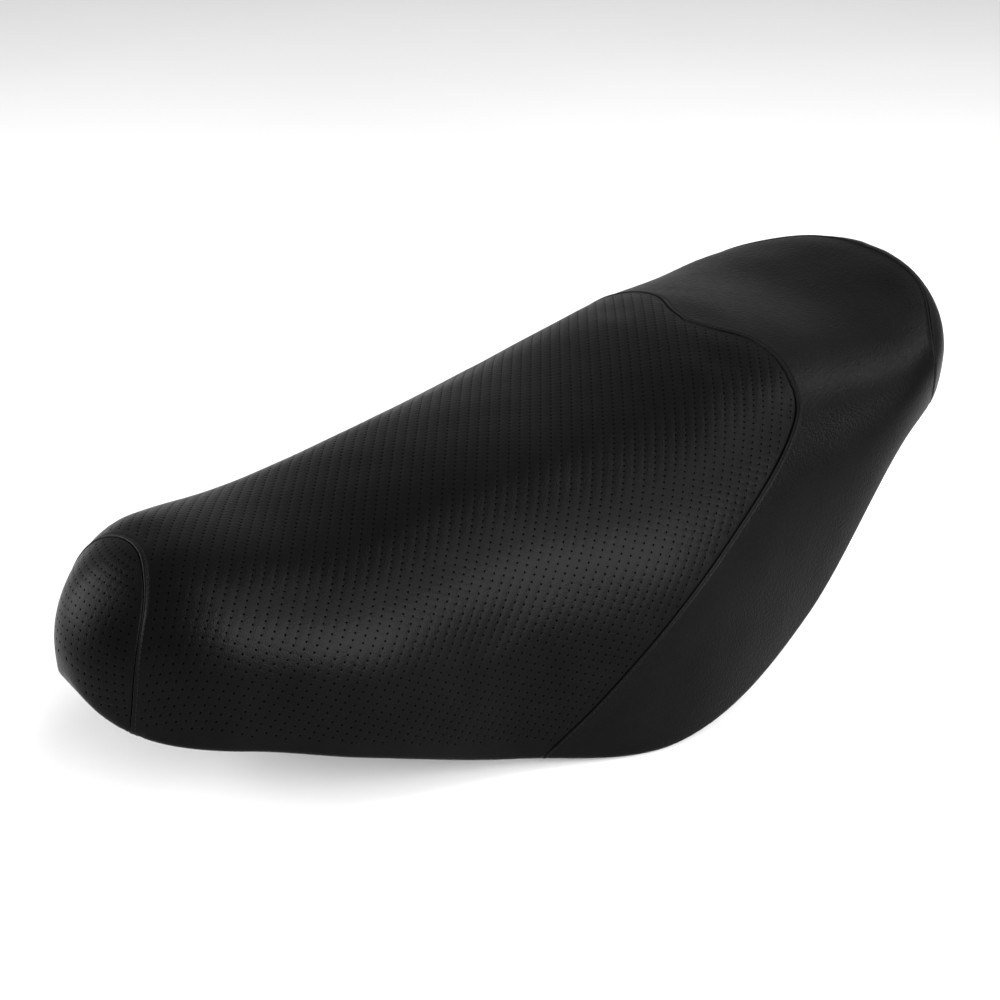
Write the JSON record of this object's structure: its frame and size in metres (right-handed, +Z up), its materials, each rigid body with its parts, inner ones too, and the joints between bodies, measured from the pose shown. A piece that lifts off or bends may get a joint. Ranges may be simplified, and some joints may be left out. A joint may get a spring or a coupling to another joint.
{
  "type": "scooter saddle",
  "caption": "Long rider and passenger saddle with a stitched vinyl cover on a moulded pan; it tips up on a hinge under its nose and latches at the tail.",
  "frame": {"origin": "centre of the two mounting holes, on the underside of the hinge's body bracket", "axes": "+X from the nose to the tail, +Y to the rider's right, +Z up"},
  "size_m": [0.678, 0.3196, 0.2616],
  "materials": {
    "vinyl_perforated": "satin",
    "vinyl_plain": "matte",
    "thread": "satin",
    "foam": "matte",
    "pan_plastic": "satin",
    "zinc_steel": "satin",
    "brass": "satin",
    "washer_nylon": "satin",
    "rubber": "matte"
  },
  "bodies": {
    "hinge_base": {"hinge_bracket": "zinc_steel", "hinge_pin": "zinc_steel", "hinge_pin_clip": "zinc_steel", "hinge_washers": "washer_nylon"},
    "seat": {"cover_nose_panel": "vinyl_perforated", "cover_driver_panel": "vinyl_perforated", "cover_passenger_panel": "vinyl_plain", "cover_tail_panel": "vinyl_plain", "foam_cushion": "foam", "base_pan": "pan_plastic", "cover_staples": "zinc_steel", "hinge_leaf": "zinc_steel", "hinge_leaf_bolts": "zinc_steel", "hinge_leaf_inserts": "brass", "striker_plate": "zinc_steel", "striker_loop": "zinc_steel", "striker_bolts": "zinc_steel", "striker_inserts": "brass", "bumper_front_left": "rubber", "bumper_front_right": "rubber", "bumper_mid_left": "rubber", "bumper_mid_right": "rubber", "bumper_rear_left": "rubber", "bumper_rear_right": "rubber"}
  },
  "joints": [
    {"name": "seat_hinge", "type": "hinge", "parent": "hinge_base", "child": "seat", "pos_m": [-0.021, 0, 0.013], "axis": [0, -1, 0], "range_deg": [0, 75]}
  ]
}
